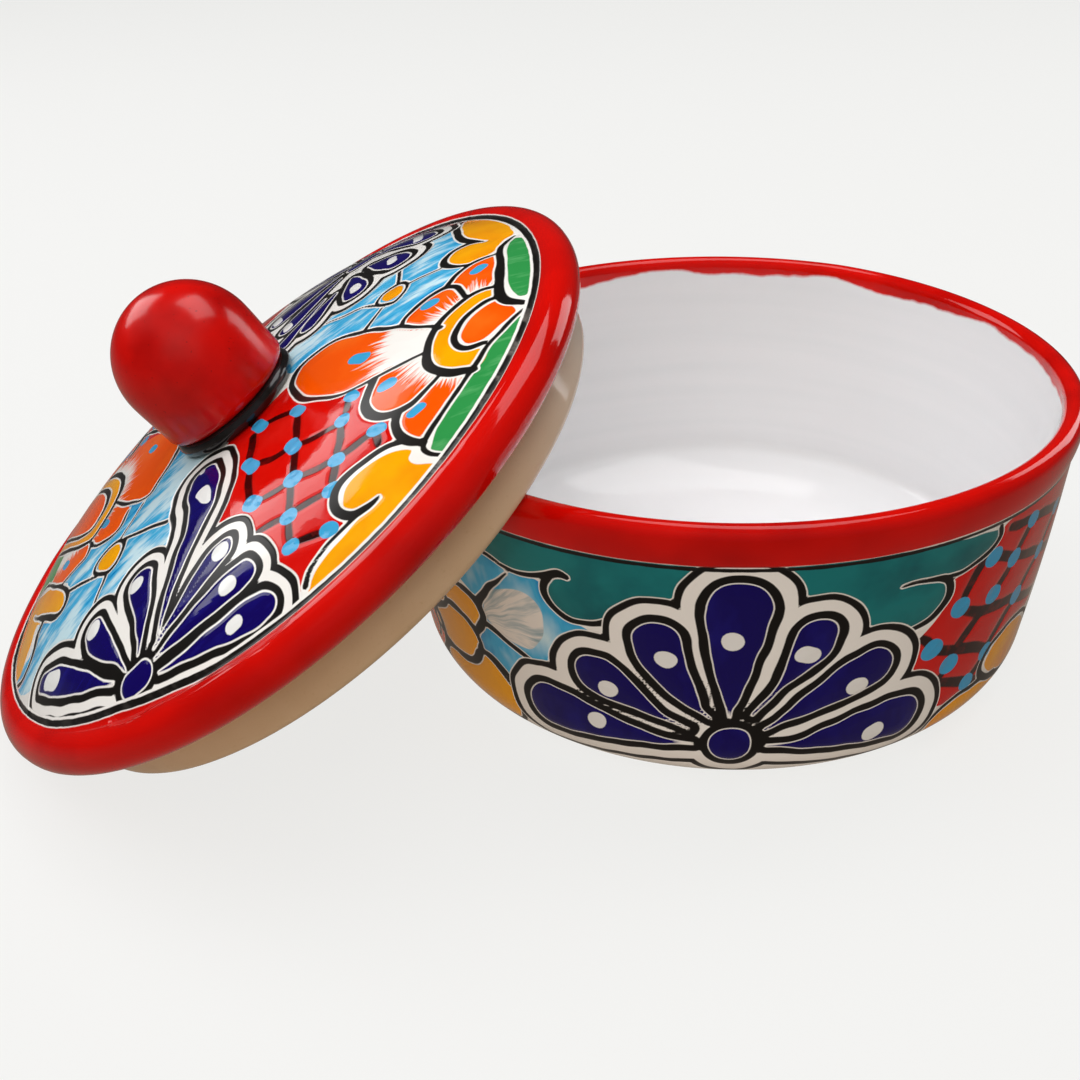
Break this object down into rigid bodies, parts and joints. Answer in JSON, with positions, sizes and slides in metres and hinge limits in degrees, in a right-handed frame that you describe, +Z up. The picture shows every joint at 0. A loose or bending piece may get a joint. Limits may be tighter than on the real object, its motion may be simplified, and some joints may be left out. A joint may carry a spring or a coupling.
{
  "type": "lidded serving dish",
  "caption": "Round earthenware warmer with a flared rim band and a domed, ball-knobbed lid that lifts off and leans on it.",
  "frame": {"origin": "centre of the dish's flat foot, on the table", "axes": "+X away from the leaning lid, +Y to the back of the pictured view, +Z up"},
  "size_m": [0.3674, 0.2416, 0.1543],
  "materials": {
    "dish": "glossy glazes: red band, cobalt, teal, red, orange and yellow outside, white inside",
    "lid": "glossy glazes on top with a red edge, clear-glazed bare clay on the flange and inside",
    "knob": "glossy red glaze",
    "knob_collar": "glossy black glaze"
  },
  "bodies": {
    "dish": {"dish": "dish"},
    "lid": {"lid": "lid", "knob": "knob", "knob_collar": "knob_collar"}
  },
  "joints": [
    {"name": "lid_lift", "type": "slide", "parent": "dish", "child": "lid", "axis": [-0.585, 0, 0.8111], "range_m": [0, 0.18]}
  ]
}
